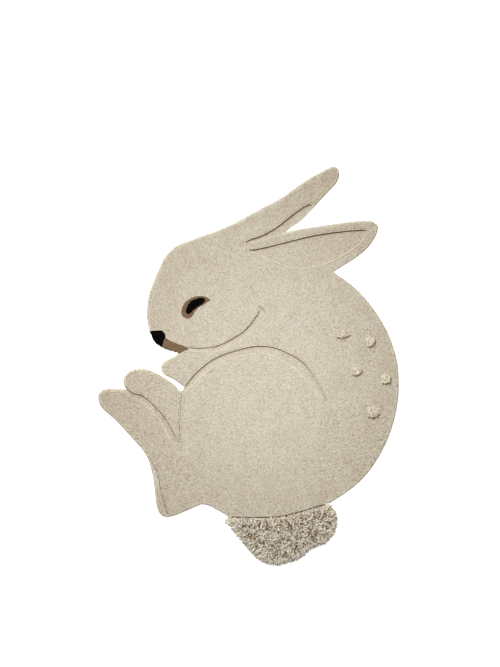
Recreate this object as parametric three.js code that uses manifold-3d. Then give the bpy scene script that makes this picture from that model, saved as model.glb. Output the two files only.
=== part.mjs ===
// A rabbit-shaped tufted wool rug for a child's room, lying flat on the floor.
// Millimetres, +Z up, seen from above with +Y towards the ears. The origin is on the floor, in the
// middle of the rug's length and width.
import * as THREE from 'three';
import { mergeVertices } from 'three/addons/utils/BufferGeometryUtils.js';
import Module from 'manifold-3d';

// Driving dimensions
const PILE_TOP = 14; // cut pile on its backing
const BACKING = 3; // cloth and latex that carry every field of pile
const EDGE_ROUND = 5; // the pile rolls over at the rug's edge
const GAP = 0.3; // between neighbouring pieces
const OUTLINE_STEP = 15; // length of one facet of the outline
const CARVE_STEP = 14; // length of one facet of a carved line

// Carving: shears cut a sloped trough into the pile
const CARVE_WALL = 2; // how far a trough's wall leans
const FACE_DROP = 1; // the dark fields are shorn a little lower than the pile around them

// Tail of long shaggy pile
const TAIL_CENTRE = [85, -500];
const TAIL_HEIGHT = 25;
const TAIL_RIM_HEIGHT = 11;
const TAIL_LUMP = 4; // how far the tail's surface heaves up and down
const TAIL_LUMP_WAVE = 7; // a lump is about six of these across
const TAIL_STEP = 13;
const TAIL_RINGS = [0.94, 0.85, 0.74, 0.62, 0.49, 0.35, 0.2, 0.08]; // shares of the way out
const TAIL_INSET = 9; // the slab stops short of the rim by this, and the locks cover it
const LOCK_SPACING = 14;
const LOCK_LENGTH = 30;
const LOCK_OVERHANG = 1; // how far a straight lock reaches past the rim
const LOCK_WIDTH = 13;
const LOCK_TIP_WIDTH = 5;
const LOCK_LIFT = 2; // a lock's root is this far off the floor, and its tip lies on it
const LOCK_SWAY = 0.5; // radians

// Tufts of longer pile on the back
const TUFT_RISE = 11; // of the blunt end above the pile
const TUFT_SIDES = 18;

// Each stretch runs from one corner of the outline to the next, as a smooth curve through [x, y].
const OUTLINE = {
  browAndFarEar: [
    [-296, 104], [-304, 146], [-302, 194], [-293, 232], [-267, 296], [-251, 328], [-218, 360],
    [-160, 384], [-86, 411], [-25, 440], [41, 476], [95, 504], [154, 546], [182, 564],
    [238, 594], [252, 600], [264, 596], [271, 583], [270, 568], [262, 551], [226, 512],
    [190, 473], [152, 435], [130, 421], [104, 401],
  ],
  nearEar: [
    [104, 401], [155, 412], [220, 422], [298, 433], [350, 437], [372, 435], [387, 421],
    [386, 405], [376, 384], [355, 355], [322, 328], [280, 301], [253, 284],
  ],
  back: [
    [253, 284], [311, 243], [370, 179], [416, 103], [443, 24], [450, -52], [445, -118],
    [424, -200], [382, -284], [334, -344], [274, -390], [240, -411],
  ],
  tailSeam: [[240, -411], [214, -417], [163, -433], [95, -449], [5, -452], [-57, -451]],
  belly: [[-57, -451], [-95, -429], [-118, -417], [-140, -412]],
  nearLeg: [
    [-140, -412], [-182, -430], [-218, -445], [-242, -451], [-260, -446], [-272, -430],
    [-278, -400], [-285, -340], [-296, -292], [-312, -258], [-350, -213], [-400, -159],
    [-440, -123], [-449, -106], [-449, -84], [-438, -71], [-394, -68], [-366, -71],
  ],
  farFoot: [
    [-366, -71], [-375, -48], [-371, -31], [-355, -14], [-325, -7], [-296, -12], [-254, -34],
    [-228, -52], [-206, -73], [-198, -74],
  ],
  notch: [[-198, -74], [-192, -61]],
  paw: [[-192, -61], [-220, -40], [-254, -21], [-262, -2], [-255, 12], [-227, 28], [-205, 40]],
  chinAndNose: [[-205, 40], [-236, 49], [-264, 61], [-282, 75], [-296, 104]],
};

// The tail's rim, from its right-hand corner round to its left-hand one.
const TAIL_RIM = [
  [242, -413], [258, -427], [268, -450], [267, -480], [256, -509], [236, -531], [190, -552],
  [160, -577], [120, -592], [85, -600], [55, -595], [19, -574], [-25, -525], [-60, -480],
  [-72, -465], [-60, -452],
];

// Carved troughs. Each row is a point on one edge of the trough and the width there, measured to the
// side that lies on the right when walking down the table, or on the left where the trough says so.
const TROUGHS = {
  jaw: {
    depth: 5,
    rows: [
      { x: -186, y: 57, width: 7 }, { x: -146, y: 55, width: 9 }, { x: -110, y: 58, width: 12 },
      { x: -79, y: 68, width: 15 }, { x: -49, y: 84, width: 16 }, { x: -19, y: 102, width: 15 },
      { x: 11, y: 133, width: 13 }, { x: 26, y: 155, width: 10 }, { x: 36, y: 173, width: 6 },
    ],
  },
  haunch: {
    depth: 5,
    rows: [
      { x: -196, y: -68, width: 10 }, { x: -175, y: -40, width: 15 }, { x: -145, y: -8, width: 17 },
      { x: -115, y: 15, width: 17 }, { x: -85, y: 32, width: 17 }, { x: -40, y: 47, width: 18 },
      { x: 5, y: 58, width: 20 }, { x: 35, y: 61, width: 21 }, { x: 65, y: 59, width: 22 },
      { x: 95, y: 50, width: 24 }, { x: 125, y: 36, width: 26 }, { x: 155, y: 18, width: 27 },
      { x: 185, y: -13, width: 26 }, { x: 208, y: -49, width: 24 }, { x: 224, y: -77, width: 20 },
      { x: 233, y: -98, width: 13 },
    ],
  },
  groin: {
    depth: 3.5,
    rows: [
      { x: -199, y: -74, width: 13 }, { x: -203, y: -100, width: 17 }, { x: -206, y: -159, width: 20 },
      { x: -208, y: -208, width: 22 }, { x: -206, y: -240, width: 20 }, { x: -201, y: -275, width: 15 },
      { x: -195, y: -300, width: 7 },
    ],
    onLeft: true,
  },
  farLeg: {
    depth: 5,
    rows: [
      { x: -370, y: -66, width: 9 }, { x: -346, y: -80, width: 12 }, { x: -319, y: -89, width: 14 },
      { x: -295, y: -107, width: 14 }, { x: -271, y: -131, width: 15 }, { x: -250, y: -156, width: 16 },
      { x: -235, y: -182, width: 17 }, { x: -221, y: -207, width: 17 }, { x: -212, y: -222, width: 14 },
    ],
  },
  heel: {
    depth: 4,
    rows: [
      { x: -316, y: -256, width: 5 }, { x: -295, y: -283, width: 5 }, { x: -280, y: -305, width: 5 },
      { x: -271, y: -332, width: 5 }, { x: -264, y: -365, width: 5 }, { x: -256, y: -401, width: 5 },
      { x: -247, y: -431, width: 5 }, { x: -235, y: -456, width: 5 },
    ],
  },
};

// Hollows inside the ears, each a closed smooth outline.
const HOLLOWS = {
  nearEar: {
    depth: 5,
    upper: [[-3, 349], [28, 352], [64, 360], [110, 372], [199, 393], [290, 406], [356, 410]],
    lower: [
      [356, 410], [349, 394], [337, 376], [319, 360], [290, 340], [230, 310], [199, 301], [169, 297],
      [139, 297], [109, 304], [50, 327], [25, 338], [-3, 349],
    ],
  },
  farEar: {
    depth: 4,
    upper: [
      [-12, 371], [10, 382], [35, 390], [59, 402], [83, 416], [107, 434], [131, 453], [155, 471],
      [173, 482], [183, 486], [193, 480],
    ],
    lower: [[193, 480], [206, 470], [160, 418], [104, 397], [79, 391], [40, 379], [-12, 371]],
  },
};

// Fields of dark pile in the face. Nose and chin run out past the outline, which trims them.
const NOSE = [
  [-310, 104], [-290, 108], [-260, 109], [-251, 99], [-249, 88], [-255, 76], [-258, 61], [-262, 44],
  [-310, 60],
];
const CHIN = [
  [-249, 87], [-236, 78], [-214, 69], [-197, 63], [-183, 58], [-183, 51], [-193, 47], [-206, 40],
  [-232, 41], [-262, 44], [-258, 61], [-255, 76],
];
const EYE_RIM = [
  [-113, 200], [-127, 209], [-144, 212], [-160, 211], [-176, 204], [-190, 193], [-199, 178],
  [-202, 163], [-197, 150], [-183, 144], [-171, 149], [-161, 164], [-150, 177], [-134, 186],
];
const EYE = [
  [-129, 199], [-133, 205], [-144, 207], [-156, 204], [-172, 197], [-181, 186], [-187, 173],
  [-188, 163], [-182, 157], [-174, 160], [-165, 169], [-153, 179], [-138, 188],
];

// Tufts on the back: middle, size across and along, and the way the blunt end points, in degrees.
const TUFTS = [
  { x: 283, y: 99, across: 39, along: 27, heading: -80 },
  { x: 363, y: 77, across: 33, along: 34, heading: -50 },
  { x: 323, y: -11, across: 34, along: 30, heading: -65 },
  { x: 411, y: -35, across: 32, along: 32, heading: -60 },
  { x: 373, y: -134, across: 36, along: 42, heading: -75 },
];

// Wool colours
const CREAM_WOOL = new THREE.Color(0xcfc5b1);
const SHAG_WOOL = new THREE.Color(0xc6b9a2);
const BROWN_WOOL = new THREE.Color(0x7f6851);
const BLACK_WOOL = new THREE.Color(0x0d0b0a);
const WOOL_ROUGHNESS = 0.95;

const wasm = await Module();
wasm.setup();

// A closed three.js geometry as a solid that can be cut and joined.
function solidOf(geometry) {
  const bare = new THREE.BufferGeometry();
  const flat = geometry.index ? geometry.toNonIndexed() : geometry;
  bare.setAttribute('position', flat.getAttribute('position'));
  const merged = mergeVertices(bare, 1e-3);
  return new wasm.Manifold(new wasm.Mesh({
    numProp: 3,
    vertProperties: new Float32Array(merged.attributes.position.array),
    triVerts: new Uint32Array(merged.index.array),
  }));
}

function geometryOf(solid) {
  const mesh = solid.getMesh();
  const geometry = new THREE.BufferGeometry();
  geometry.setAttribute('position', new THREE.BufferAttribute(mesh.vertProperties.slice(), 3));
  geometry.setIndex(new THREE.BufferAttribute(mesh.triVerts.slice(), 1));
  geometry.computeVertexNormals();
  return geometry;
}

// A repeatable value from 0 to 1 for a whole number.
function scatter(n) {
  const s = Math.sin(n * 12.9898 + 4.1414) * 43758.5453;
  return s - Math.floor(s);
}

// Evenly spaced points, about step apart, on a smooth curve through [x, y] points.
function walk(points, step) {
  const through = points.map(([x, y]) => new THREE.Vector3(x, y, 0));
  const curve = new THREE.CatmullRomCurve3(through, false, 'centripetal');
  const count = Math.max(1, Math.round(curve.getLength() / step));
  return curve.getSpacedPoints(count).map((p) => new THREE.Vector2(p.x, p.y));
}

// A closed smooth curve through [x, y] points.
function walkRound(points, step) {
  return walk([...points, points[0]], step).slice(0, -1);
}

// Stretches that meet at corners, as one closed outline.
function joined(stretches, step) {
  return stretches.flatMap((points) => walk(points, step).slice(0, -1));
}

// A closed outline moved sideways by distance, outwards where it is positive. Both sides of a corner
// move by the same amount.
function grown(outline, distance) {
  const turn = THREE.ShapeUtils.isClockWise(outline) ? -1 : 1;
  const outward = (from, to) => {
    const along = to.clone().sub(from).normalize();
    return new THREE.Vector2(turn * along.y, -turn * along.x);
  };
  return outline.map((p, i) => {
    const one = outward(outline[(i + outline.length - 1) % outline.length], p);
    const other = outward(p, outline[(i + 1) % outline.length]);
    const reach = distance / Math.max(0.3, 1 + one.dot(other));
    return p.clone().addScaledVector(one.add(other), reach);
  });
}

// A straight-sided prism of an outline between two heights, with any holes left out.
function prism(outline, low, high, holes = []) {
  const shape = new THREE.Shape(outline);
  shape.holes = holes.map((hole) => new THREE.Path(hole));
  const geometry = new THREE.ExtrudeGeometry(shape, { depth: high - low, bevelEnabled: false });
  return solidOf(geometry.translate(0, 0, low));
}

// The rug's slab: straight at the floor, with its upper edge rolled over.
function roundedSlab(outline) {
  const below = EDGE_ROUND + 1;
  const geometry = new THREE.ExtrudeGeometry(new THREE.Shape(outline), {
    depth: PILE_TOP - EDGE_ROUND + 1,
    bevelThickness: EDGE_ROUND,
    bevelSize: EDGE_ROUND,
    bevelOffset: -EDGE_ROUND,
    bevelSegments: 2,
  });
  const whole = solidOf(geometry.translate(0, 0, -1));
  const box = new THREE.BoxGeometry(2000, 2000, below);
  return whole.subtract(solidOf(box.translate(0, 0, -below / 2)));
}

// What the shears take out of an area of pile: its walls lean in towards the floor of the cut.
function shearing(outline, depth) {
  const geometry = new THREE.ExtrudeGeometry(new THREE.Shape(outline), {
    depth: 2,
    bevelThickness: depth,
    bevelSize: CARVE_WALL,
    bevelOffset: -CARVE_WALL,
    bevelSegments: 1,
  });
  return solidOf(geometry.translate(0, 0, PILE_TOP));
}

// The area of a trough: out along the edge in its table, and back along the edge a width away.
function troughOutline({ rows, onLeft = false }) {
  const through = rows.map((row) => new THREE.Vector3(row.x, row.y, row.width));
  const curve = new THREE.CatmullRomCurve3(through, false, 'centripetal');
  const edge = curve.getSpacedPoints(Math.round(curve.getLength() / CARVE_STEP));
  const side = onLeft ? 1 : -1;
  const other = edge.map((p, i) => {
    const before = edge[Math.max(0, i - 1)];
    const after = edge[Math.min(edge.length - 1, i + 1)];
    const along = new THREE.Vector2(after.x - before.x, after.y - before.y).normalize();
    return new THREE.Vector2(p.x - side * along.y * p.z, p.y + side * along.x * p.z);
  });
  return [...edge.map((p) => new THREE.Vector2(p.x, p.y)), ...other.reverse()];
}

// A solid skin through rings of [x, y, z] points that all have the same count, closed at both ends
// by a middle point.
function skinned(rings) {
  const middle = (ring) => [0, 1, 2].map((k) => ring.reduce((sum, p) => sum + p[k], 0) / ring.length);
  const sides = rings[0].length;
  const vertices = [...rings.flat(), middle(rings[0]), middle(rings[rings.length - 1])];
  const first = rings.length * sides;
  const last = first + 1;
  const faces = [];
  for (let j = 0; j < sides; j++) {
    const next = (j + 1) % sides;
    faces.push(first, next, j);
    faces.push(last, (rings.length - 1) * sides + j, (rings.length - 1) * sides + next);
    for (let i = 0; i + 1 < rings.length; i++) {
      const a = i * sides + j;
      const b = i * sides + next;
      faces.push(a, b, b + sides, a, b + sides, a + sides);
    }
  }
  const geometry = new THREE.BufferGeometry();
  geometry.setAttribute('position', new THREE.Float32BufferAttribute(vertices.flat(), 3));
  geometry.setIndex(faces);
  return geometry;
}

// How far the tail's surface stands above or below its dome at a place.
function lump(x, y) {
  const u = x / TAIL_LUMP_WAVE + 2 * Math.sin(y / (3 * TAIL_LUMP_WAVE));
  const v = y / TAIL_LUMP_WAVE + 2 * Math.sin(x / (3 * TAIL_LUMP_WAVE));
  return TAIL_LUMP * Math.sin(u) * Math.cos(v);
}

// The tail's lumpy slab: rings that shrink towards the middle as they climb.
function tailSlab(outline) {
  const [cx, cy] = TAIL_CENTRE;
  const turned = THREE.ShapeUtils.isClockWise(outline) ? outline.slice().reverse() : outline;
  const ringAt = (share, height, heave) => turned.map((p) => {
    const x = cx + (p.x - cx) * share;
    const y = cy + (p.y - cy) * share;
    return [x, y, height + heave * lump(x, y)];
  });
  const rings = [ringAt(1, 0, 0), ringAt(1, TAIL_RIM_HEIGHT, 0)];
  for (const share of TAIL_RINGS) {
    const climb = Math.sqrt(1 - share ** 3);
    rings.push(ringAt(share, TAIL_RIM_HEIGHT + (TAIL_HEIGHT - TAIL_RIM_HEIGHT) * climb, 1));
  }
  return solidOf(skinned(rings));
}

// One lock of yarn: a tapered strand of four sides that leans out of the slab and comes to rest on
// the floor. sway turns it, and bend carries its tip on further.
function lock(root, outward, length, sway, bend) {
  const stations = 5;
  const rings = [];
  for (let i = 0; i < stations; i++) {
    const t = i / (stations - 1);
    const angle = outward + sway + bend * t * t;
    const half = (LOCK_WIDTH + (LOCK_TIP_WIDTH - LOCK_WIDTH) * t) / 2;
    const x = root.x + Math.cos(angle) * length * t;
    const y = root.y + Math.sin(angle) * length * t;
    const z = half + (1 - t) * LOCK_LIFT;
    const across = [-Math.sin(angle) * half, Math.cos(angle) * half];
    rings.push([
      [x + across[0], y + across[1], z],
      [x, y, z + half],
      [x - across[0], y - across[1], z],
      [x, y, z - half],
    ]);
  }
  return solidOf(skinned(rings));
}

// Locks all round the tail's free rim, joined to the slab at their roots. The seam side is trimmed
// to stand clear of the rug's edge.
function shaggyTail(rugOutline) {
  const seam = walk(OUTLINE.tailSeam, TAIL_STEP).reverse().slice(1, -1);
  const rim = walk(TAIL_RIM, TAIL_STEP);
  const innerRim = grown([...rim, ...seam], -TAIL_INSET).slice(0, rim.length);
  let tail = tailSlab([...innerRim, ...seam]);
  walk(TAIL_RIM, LOCK_SPACING).slice(1, -1).forEach((p, i, all) => {
    const before = all[Math.max(0, i - 1)];
    const after = all[Math.min(all.length - 1, i + 1)];
    const along = after.clone().sub(before).normalize();
    const outward = new THREE.Vector2(-along.y, along.x);
    const root = p.clone().addScaledVector(outward, LOCK_OVERHANG - LOCK_LENGTH);
    const sway = LOCK_SWAY * (2 * scatter(300 + i) - 1);
    const bend = LOCK_SWAY * (2 * scatter(400 + i) - 1);
    const length = LOCK_LENGTH * (0.9 + 0.2 * scatter(500 + i));
    tail = tail.add(lock(root, outward.angle(), length, sway, bend));
  });
  return tail.subtract(prism(grown(rugOutline, GAP), -1, 2 * TAIL_HEIGHT));
}

// One tuft: a rounded wedge that stands in the pile and climbs out of it towards its blunt end. A
// ring of it is low at the rear and higher by the climb at the blunt end.
function tuftRing(tuft, size, low, climb) {
  const heading = THREE.MathUtils.degToRad(tuft.heading);
  return Array.from({ length: TUFT_SIDES }, (_, i) => {
    const angle = (i / TUFT_SIDES) * Math.PI * 2;
    const narrowing = 0.93 + 0.36 * Math.cos(angle);
    const along = Math.cos(angle) * (tuft.along / 2) * size;
    const across = Math.sin(angle) * (tuft.across / 2) * narrowing * size;
    const ahead = (1 + Math.cos(angle) * size) / 2;
    return [
      tuft.x + Math.cos(heading) * along - Math.sin(heading) * across,
      tuft.y + Math.sin(heading) * along + Math.cos(heading) * across,
      low + climb * ahead,
    ];
  });
}

function tuftSolid(tuft) {
  return solidOf(skinned([
    tuftRing(tuft, 1, BACKING + GAP, 0),
    tuftRing(tuft, 1, PILE_TOP, TUFT_RISE * 0.75),
    tuftRing(tuft, 0.86, PILE_TOP + TUFT_RISE * 0.15, TUFT_RISE * 0.85),
    tuftRing(tuft, 0.5, PILE_TOP + TUFT_RISE * 0.25, TUFT_RISE * 0.8),
  ]));
}

function tuftSeat(tuft) {
  const ring = tuftRing(tuft, 1, 0, 0).map(([x, y]) => new THREE.Vector2(x, y));
  return prism(grown(ring, GAP), BACKING, PILE_TOP + 1);
}

function corners(points) {
  return points.map(([x, y]) => new THREE.Vector2(x, y));
}

// The slab, with its troughs and hollows shorn out.
const rugOutline = joined(Object.values(OUTLINE), OUTLINE_STEP);
const slab = roundedSlab(rugOutline);
let body = slab;
for (const trough of Object.values(TROUGHS)) {
  body = body.subtract(shearing(troughOutline(trough), trough.depth));
}
for (const hollow of Object.values(HOLLOWS)) {
  const outline = joined([hollow.upper, hollow.lower], CARVE_STEP);
  body = body.subtract(shearing(outline, hollow.depth));
}

// Dark fields stand on the same backing, in seats cut out of the cream pile.
const eyeRimOutline = walkRound(EYE_RIM, 6);
const eyeOutline = walkRound(EYE, 6);
const fieldLow = BACKING + GAP;
const fieldHigh = PILE_TOP - FACE_DROP;
const half = GAP / 2;
const nose = slab.intersect(prism(grown(corners(NOSE), -half), fieldLow, fieldHigh));
const chin = slab.intersect(prism(grown(corners(CHIN), -half), fieldLow, fieldHigh));
const eyeRim = prism(grown(eyeRimOutline, -half), fieldLow, fieldHigh, [grown(eyeOutline, half)]);
const eye = prism(grown(eyeOutline, -half), fieldLow, fieldHigh);
for (const seat of [corners(NOSE), corners(CHIN), eyeRimOutline]) {
  body = body.subtract(prism(grown(seat, half), BACKING, PILE_TOP + 1));
}
for (const tuft of TUFTS) {
  body = body.subtract(tuftSeat(tuft));
}

const tail = shaggyTail(rugOutline);

function wool(colour) {
  return new THREE.MeshStandardMaterial({ color: colour, roughness: WOOL_ROUGHNESS, metalness: 0 });
}

const rug = new THREE.Group();
function place(name, solid, colour) {
  const mesh = new THREE.Mesh(geometryOf(solid), wool(colour));
  mesh.name = name;
  rug.add(mesh);
}

place('rug_body', body, CREAM_WOOL);
place('nose_pile', nose, BLACK_WOOL);
place('chin_pile', chin, BROWN_WOOL);
place('eye_rim_pile', eyeRim, BROWN_WOOL);
place('eye_pile', eye, BLACK_WOOL);
place('tail_shag', tail, SHAG_WOOL);
TUFTS.forEach((tuft, i) => place(`back_tuft_${i + 1}`, tuftSolid(tuft), CREAM_WOOL));

export default rug;
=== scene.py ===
# %% [markdown]
# # A rabbit-shaped wool rug
# This lesson dresses the plain solids of a child's rug: cream cut pile with carved lines, dark yarn
# in the face, five tufts on the back and a shaggy tail. The solids give the place and the size of
# everything, so they are loaded first.

# %% Load the solids
import bmesh
import bpy
import numpy as np
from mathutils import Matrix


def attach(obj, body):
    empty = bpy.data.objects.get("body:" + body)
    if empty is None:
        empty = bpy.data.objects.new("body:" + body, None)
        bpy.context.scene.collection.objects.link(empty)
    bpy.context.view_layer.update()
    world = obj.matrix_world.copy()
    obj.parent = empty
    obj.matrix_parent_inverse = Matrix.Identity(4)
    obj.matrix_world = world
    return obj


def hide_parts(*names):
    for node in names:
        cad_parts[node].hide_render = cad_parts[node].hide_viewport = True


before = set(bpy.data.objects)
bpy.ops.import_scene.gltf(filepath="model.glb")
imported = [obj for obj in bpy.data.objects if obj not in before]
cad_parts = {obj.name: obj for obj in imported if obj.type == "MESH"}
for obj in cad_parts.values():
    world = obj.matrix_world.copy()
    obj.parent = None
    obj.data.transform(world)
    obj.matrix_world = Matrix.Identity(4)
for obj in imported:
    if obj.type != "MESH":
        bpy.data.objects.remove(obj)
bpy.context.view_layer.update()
print("nodes:", sorted(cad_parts))

# %% [markdown]
# ## The drawing
# A rug maker draws the animal on the backing cloth before any yarn goes in. The same drawing is used
# here, as short tables in millimetres. Every stretch of the outline is a smooth curve from one
# corner to the next. A carved trough is its steep edge and a width to one side. The window's place is
# set here too, as some yarns' tones depend on it.

# %% The drawing's tables
MM = 0.001
PILE_TOP = 14 * MM
EDGE_ROUND = 5 * MM
WINDOW = np.array([-2.8, 4.7, 5.8])

OUTLINE = {
    "brow_and_far_ear": [
        (-296, 104), (-304, 146), (-302, 194), (-293, 232), (-267, 296), (-251, 328), (-218, 360),
        (-160, 384), (-86, 411), (-25, 440), (41, 476), (95, 504), (154, 546), (182, 564),
        (238, 594), (252, 600), (264, 596), (271, 583), (270, 568), (262, 551), (226, 512),
        (190, 473), (152, 435), (130, 421), (104, 401)],
    "near_ear": [
        (104, 401), (155, 412), (220, 422), (298, 433), (350, 437), (372, 435), (387, 421),
        (386, 405), (376, 384), (355, 355), (322, 328), (280, 301), (253, 284)],
    "back": [
        (253, 284), (311, 243), (370, 179), (416, 103), (443, 24), (450, -52), (445, -118),
        (424, -200), (382, -284), (334, -344), (274, -390), (240, -411)],
    "tail_seam": [(240, -411), (214, -417), (163, -433), (95, -449), (5, -452), (-57, -451)],
    "belly": [(-57, -451), (-95, -429), (-118, -417), (-140, -412)],
    "near_leg": [
        (-140, -412), (-182, -430), (-218, -445), (-242, -451), (-260, -446), (-272, -430),
        (-278, -400), (-285, -340), (-296, -292), (-312, -258), (-350, -213), (-400, -159),
        (-440, -123), (-449, -106), (-449, -84), (-438, -71), (-394, -68), (-366, -71)],
    "far_foot": [
        (-366, -71), (-375, -48), (-371, -31), (-355, -14), (-325, -7), (-296, -12), (-254, -34),
        (-228, -52), (-206, -73), (-198, -74)],
    "notch": [(-198, -74), (-192, -61)],
    "paw": [(-192, -61), (-220, -40), (-254, -21), (-262, -2), (-255, 12), (-227, 28), (-205, 40)],
    "chin_and_nose": [(-205, 40), (-236, 49), (-264, 61), (-282, 75), (-296, 104)],
}
TAIL_RIM = [
    (242, -413), (258, -427), (268, -450), (267, -480), (256, -509), (236, -531), (190, -552),
    (160, -577), (120, -592), (85, -600), (55, -595), (19, -574), (-25, -525), (-60, -480),
    (-72, -465), (-60, -452)]

# A trough is the side it lies on, its depth, half the width of the slit at its steep edge, the length
# over which the slit closes before its end, and rows of x, y and width. The width lies to the right of
# the walk, or to its left where the side is 1.
TROUGHS = {
    "jaw": (-1, 5.0, 1.3, 12, [
        (-186, 57, 7), (-146, 55, 9), (-110, 58, 12), (-79, 68, 15), (-49, 84, 16), (-19, 102, 15),
        (11, 133, 13), (26, 155, 10), (36, 173, 6)]),
    "haunch": (-1, 5.0, 1.6, 120, [
        (-196, -68, 10), (-175, -40, 15), (-145, -8, 17), (-115, 15, 17), (-85, 32, 17),
        (-40, 47, 18), (5, 58, 20), (35, 61, 21), (65, 59, 22), (95, 50, 24), (125, 36, 26),
        (155, 18, 27), (185, -13, 26), (208, -49, 24), (224, -77, 20), (233, -98, 13)]),
    "groin": (1, 3.5, 0, 100, [
        (-199, -74, 13), (-203, -100, 17), (-206, -159, 20), (-208, -208, 22), (-206, -240, 20),
        (-201, -275, 15), (-195, -300, 7)]),
    "far_leg": (-1, 5.0, 1.6, 8, [
        (-370, -66, 9), (-346, -80, 12), (-319, -89, 14), (-295, -107, 14), (-271, -131, 15),
        (-250, -156, 16), (-235, -182, 17), (-221, -207, 17), (-212, -222, 14)]),
    "heel": (-1, 4.0, 1.0, 4, [
        (-316, -256, 5), (-295, -283, 5), (-280, -305, 5), (-271, -332, 5), (-264, -365, 5),
        (-256, -401, 5), (-247, -431, 5), (-235, -456, 5)]),
}

# A crease is half the width of its slit, then points. It is cut without a trough.
CREASES = {
    "end_of_jaw": (1.0, [(34, 179), (44, 170)]),
    "far_foot": (0.5, [(-199, -76), (-203, -100), (-206, -159), (-208, -208), (-209, -217), (-212, -222)]),
}

# A hollow is its depth at the steep upper edge and at the lower edge, half the slit's width, the length
# over which the slit closes, and the two edges.
HOLLOWS = {
    "near_ear": (6, 3.0, 1.9, 12, [
        (-3, 349), (28, 352), (64, 360), (110, 372), (199, 393), (290, 406), (356, 410)], [
        (356, 410), (349, 394), (337, 376), (319, 360), (290, 340), (230, 310), (199, 301),
        (169, 297), (139, 297), (109, 304), (50, 327), (25, 338), (-3, 349)]),
    "far_ear": (6, 2.2, 1.9, 8, [
        (-12, 371), (10, 382), (35, 390), (59, 402), (83, 416), (107, 434), (131, 453), (155, 471),
        (173, 482), (183, 486), (193, 480)], [
        (193, 480), (206, 470), (160, 418), (104, 397), (79, 391), (40, 379), (-12, 371)]),
}

NOSE = [
    (-310, 104), (-290, 108), (-260, 109), (-251, 99), (-249, 88), (-255, 76), (-258, 61),
    (-262, 44), (-310, 60)]
CHIN = [
    (-249, 87), (-236, 78), (-214, 69), (-197, 63), (-183, 58), (-183, 51), (-193, 47), (-206, 40),
    (-232, 41), (-262, 44), (-258, 61), (-255, 76)]
EYE_RIM = [
    (-113, 200), (-127, 209), (-144, 212), (-160, 211), (-176, 204), (-190, 193), (-199, 178),
    (-202, 163), (-197, 150), (-183, 144), (-171, 149), (-161, 164), (-150, 177), (-134, 186)]
EYE = [
    (-129, 199), (-133, 205), (-144, 207), (-156, 204), (-172, 197), (-181, 186), (-187, 173),
    (-188, 163), (-182, 157), (-174, 160), (-165, 169), (-153, 179), (-138, 188)]

# %% Curves from the tables
def length_along(curve):
    """The length walked up to each point of a curve."""
    return np.concatenate([[0], np.cumsum(np.linalg.norm(np.diff(curve[:, :2], axis=0), axis=1))])


def points_at(curve, lengths):
    """The rows of a curve at the given lengths along it."""
    return np.column_stack([np.interp(lengths, length_along(curve), column) for column in curve.T])


def unit(vectors):
    """Vectors scaled to a length of one."""
    return vectors / (np.linalg.norm(vectors, axis=-1, keepdims=True) + 1e-12)


def ways_along(curve):
    """Steps of length one along a curve, and to the left of it, at each of its points."""
    along = unit(np.gradient(curve, axis=0))
    return along, np.column_stack([-along[:, 1], along[:, 0]])


def beside(curve, offset):
    """The curve moved sideways, to the left of its walk where the offset is positive."""
    return curve + ways_along(curve)[1] * np.reshape(offset, (-1, 1))


def smooth_walk(rows, step):
    """A smooth curve through the rows, then points about a step apart on it.

    Between two rows it blends four straight lines whose knots are spaced by the root of the distance
    between rows, so it neither overshoots nor loops where rows lie unevenly."""
    knots = np.array(rows, dtype=float) * MM
    ends = np.vstack([2 * knots[0] - knots[1], knots, 2 * knots[-1] - knots[-2]])
    gap = np.sqrt(np.linalg.norm(np.diff(ends, axis=0), axis=1))
    time = np.concatenate([[0], np.cumsum(gap)])
    fine = np.linspace(0, 1, 24, endpoint=False)
    span = np.repeat(np.arange(len(knots) - 1), len(fine))
    t = (time[span + 1] + np.tile(fine, len(knots) - 1) * (time[span + 2] - time[span + 1]))[:, None]
    t0, t1, t2, t3 = (time[span + k][:, None] for k in range(4))
    p0, p1, p2, p3 = (ends[span + k] for k in range(4))

    def line(low, high, a, b):
        return (high - t) / (high - low) * a + (t - low) / (high - low) * b

    a1, a2, a3 = line(t0, t1, p0, p1), line(t1, t2, p1, p2), line(t2, t3, p2, p3)
    b1, b2 = line(t0, t2, a1, a2), line(t1, t3, a2, a3)
    curve = np.vstack([line(t1, t2, b1, b2), knots[-1]])
    total = length_along(curve)[-1]
    return points_at(curve, np.linspace(0, total, max(2, int(round(total / step)) + 1)))


def joined_walk(stretches, step):
    """Stretches that meet at corners, as one closed loop."""
    return np.vstack([smooth_walk(rows, step)[:-1] for rows in stretches])


def trough_edges(side, rows):
    """The steep edge, and the edge that lies the stated width to one side of it."""
    edge = smooth_walk(rows, CUT_STEP)
    return edge[:, :2], beside(edge[:, :2], side * edge[:, 2])


def straight_walk(rows, step):
    """A closed loop of straight lines through the rows, with points about a step apart on it."""
    closed = np.array(rows + rows[:1], dtype=float) * MM
    return points_at(closed, np.arange(0, length_along(closed)[-1], step))


OUTLINE_STEP = 3 * MM
CUT_STEP = 2.2 * MM
TROUGH_END = 1.6 * MM
rug_loop = joined_walk(OUTLINE.values(), OUTLINE_STEP)
tail_loop = joined_walk([TAIL_RIM, OUTLINE["tail_seam"][::-1]], OUTLINE_STEP)
seam_curve = smooth_walk(OUTLINE["tail_seam"], CUT_STEP)
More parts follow.
